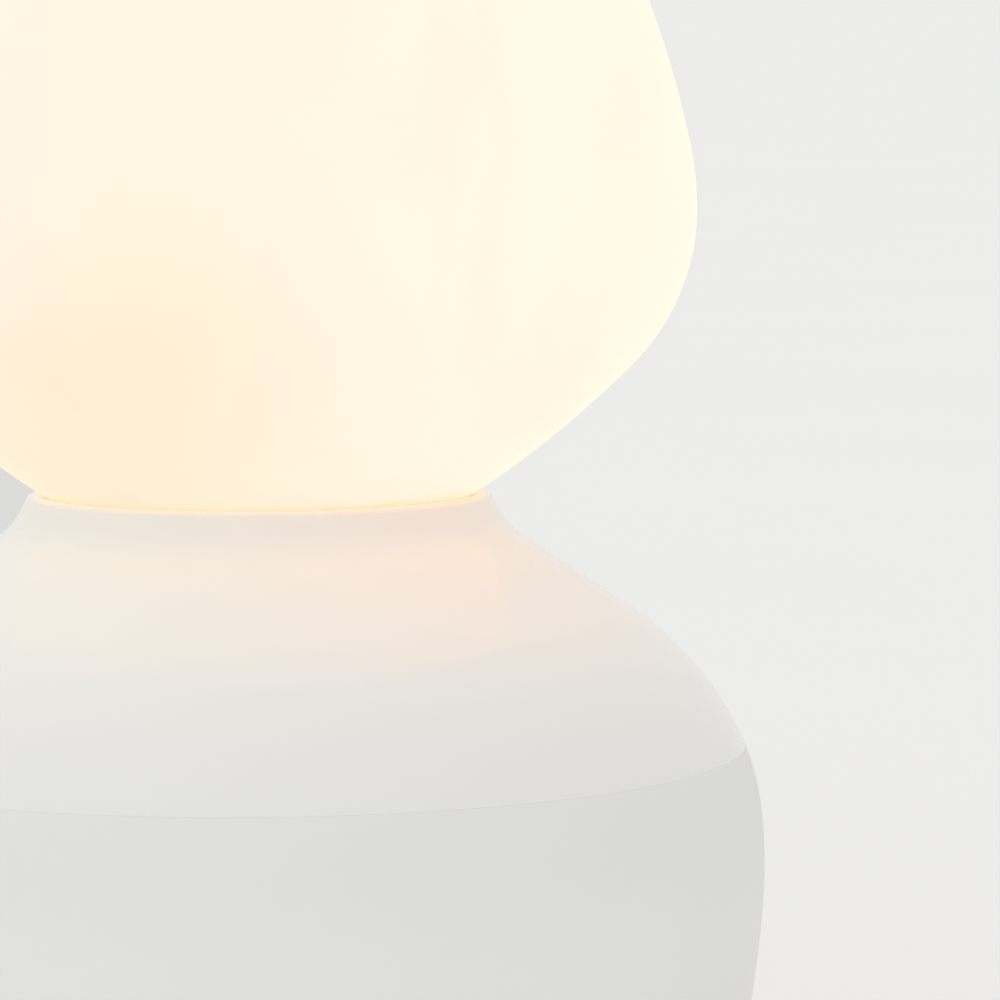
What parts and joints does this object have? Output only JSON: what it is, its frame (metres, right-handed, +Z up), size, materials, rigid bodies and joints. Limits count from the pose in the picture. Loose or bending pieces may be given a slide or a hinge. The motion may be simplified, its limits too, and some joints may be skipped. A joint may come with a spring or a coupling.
{
  "type": "table lamp",
  "caption": "Table lamp: a rounded opal glass shade nested in the rounded lip of a plump glossy white vase-shaped base with a fine seam round its shoulder.",
  "frame": {"origin": "on the table, under the centre of the foot", "axes": "+Z up along the lamp's axis; +Y towards the cord notch at the rear; -Y towards the viewer"},
  "size_m": [0.2, 0.2, 0.3292],
  "materials": {
    "glaze": "glossy off-white glaze",
    "opal_glass": "glossy opal white, lit warm from inside",
    "silicone": "matt translucent white",
    "felt": "grey felt",
    "zinc_steel": "zinc plated",
    "raw_steel": "dark rolled steel",
    "brass": "satin brass",
    "nylon": "natural nylon",
    "holder_plastic": "white moulded resin",
    "steatite": "unglazed white",
    "bulb_diffuser": "satin opal",
    "bulb_body": "white moulded",
    "bulb_metal": "nickel plated",
    "bulb_insulator": "black fused glass",
    "board": "white board"
  },
  "bodies": {
    "base": {"lower_body": "glaze", "shoulder_cover": "glaze", "seam_band": "silicone", "foot_pad": "felt", "tie_tube": "zinc_steel", "hex_nuts": "zinc_steel", "spread_washer": "zinc_steel", "ballast_plate": "raw_steel", "cord_bushing": "nylon", "gallery": "brass", "seat_ring": "silicone", "lock_washer": "zinc_steel", "holder_cap": "holder_plastic", "holder_grub_screw": "zinc_steel", "holder_insert": "steatite", "holder_skirt": "holder_plastic", "holder_liner": "brass", "centre_contact": "brass", "holder_terminals": "brass"},
    "shade": {"glass_shade": "opal_glass"},
    "bulb": {"bulb_globe": "bulb_diffuser", "bulb_housing": "bulb_body", "bulb_cap": "bulb_metal", "bulb_insulator": "bulb_insulator", "bulb_tip": "bulb_metal", "led_board": "board", "driver_board": "board"}
  },
  "joints": [
    {"name": "shade_lift", "type": "slide", "parent": "base", "child": "shade", "axis": [0, 0, 1], "range_m": [0, 0.2]},
    {"name": "bulb_lift", "type": "slide", "parent": "base", "child": "bulb", "axis": [0, 0, 1], "range_m": [0, 0.05]}
  ]
}
